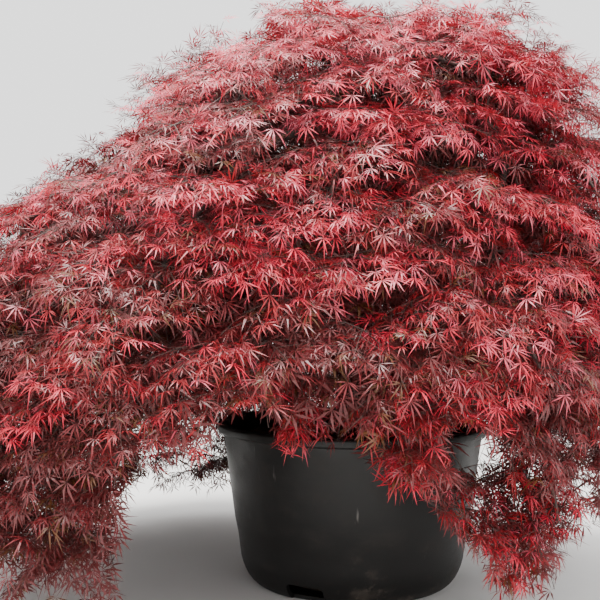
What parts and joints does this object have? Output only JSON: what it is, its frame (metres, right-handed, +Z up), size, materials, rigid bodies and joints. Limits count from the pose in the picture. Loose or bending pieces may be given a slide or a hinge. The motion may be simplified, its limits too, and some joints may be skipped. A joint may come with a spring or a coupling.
{
  "type": "potted weeping laceleaf japanese maple",
  "caption": "Weeping laceleaf japanese maple with drooping tiers of red foliage on arching boughs, in a round black nursery pot that stands on its flat underside.",
  "frame": {"origin": "centre of the pot's flat underside, at ground level", "axes": "+Z up, from the ground to the top of the crown; +X to the right and +Y away for a viewer who stands at the pictured side; the crown's broad side hangs over -X"},
  "size_m": [2.9199, 2.5435, 1.9628],
  "materials": {
    "pot_plastic": "black moulded plastic, satin, dusty and lightly scuffed",
    "potting_mix": "rough, damp bark mix",
    "bark": "grey-brown bark, matt, shallow ridges on the trunk",
    "foliage": "thin leaves, satin, red to burgundy"
  },
  "bodies": {
    "root": {"pot": "pot_plastic", "soil": "potting_mix", "trunk": "bark", "bough_middle_1": "bark", "bough_middle_2": "bark", "bough_middle_3": "bark", "bough_middle_4": "bark", "bough_middle_5": "bark", "bough_middle_6": "bark", "bough_skirt_1": "bark", "bough_skirt_2": "bark", "bough_skirt_3": "bark", "bough_skirt_4": "bark", "bough_skirt_5": "bark", "bough_skirt_6": "bark", "bough_top_1": "bark", "bough_top_2": "bark", "bough_top_3": "bark", "bough_trail_1": "bark", "bough_trail_2": "bark", "bough_trail_3": "bark", "bough_trail_4": "bark", "bough_upper_1": "bark", "bough_upper_2": "bark", "bough_upper_3": "bark", "bough_upper_4": "bark", "bough_upper_5": "bark", "bough_upper_6": "bark", "foliage_middle_1": "foliage", "foliage_middle_2": "foliage", "foliage_middle_3": "foliage", "foliage_middle_4": "foliage", "foliage_middle_5": "foliage", "foliage_middle_6": "foliage", "foliage_skirt_1": "foliage", "foliage_skirt_2": "foliage", "foliage_skirt_3": "foliage", "foliage_skirt_4": "foliage", "foliage_skirt_5": "foliage", "foliage_skirt_6": "foliage", "foliage_top_1": "foliage", "foliage_top_2": "foliage", "foliage_top_3": "foliage", "foliage_trail_1": "foliage", "foliage_trail_2": "foliage", "foliage_trail_3": "foliage", "foliage_trail_4": "foliage", "foliage_upper_1": "foliage", "foliage_upper_2": "foliage", "foliage_upper_3": "foliage", "foliage_upper_4": "foliage", "foliage_upper_5": "foliage", "foliage_upper_6": "foliage"}
  },
  "joints": []
}
